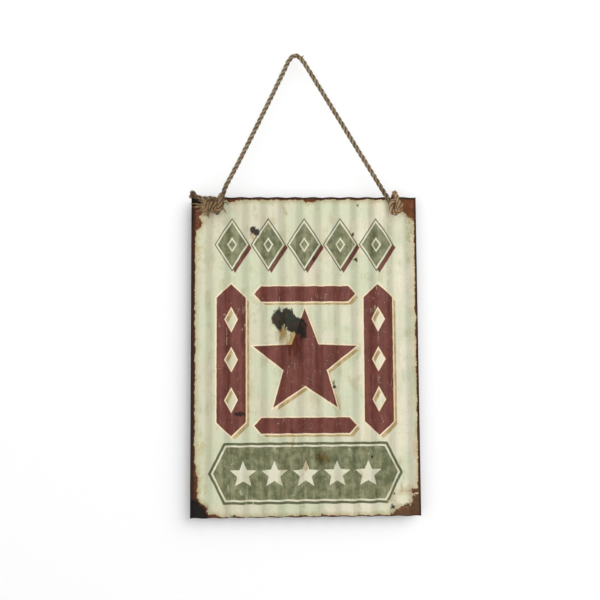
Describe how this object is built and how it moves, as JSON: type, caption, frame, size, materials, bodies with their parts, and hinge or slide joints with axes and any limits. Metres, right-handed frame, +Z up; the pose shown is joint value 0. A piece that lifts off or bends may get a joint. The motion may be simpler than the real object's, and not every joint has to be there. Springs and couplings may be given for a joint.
{
  "type": "hanging wall sign",
  "caption": "Upright sign of corrugated printed steel, worn at its edges, hung from a knotted jute rope over a nail.",
  "frame": {"origin": "hang point: where the inside of the rope's bend rests on the top of its nail, in the middle depth of the sheet", "axes": "+Z up along the height of the sheet, front with the print along -Y, +X to the viewer's right"},
  "size_m": [0.25, 0.0238, 0.515],
  "materials": {
    "printed_steel": "satin print on cream paint, rusted at the edges and corners",
    "jute_rope": "dull twisted jute with loose fibres"
  },
  "bodies": {
    "root": {"corrugated_sheet": "printed_steel", "hanging_rope": "jute_rope", "edge_knots": "jute_rope", "rope_ends": "jute_rope"}
  },
  "joints": []
}
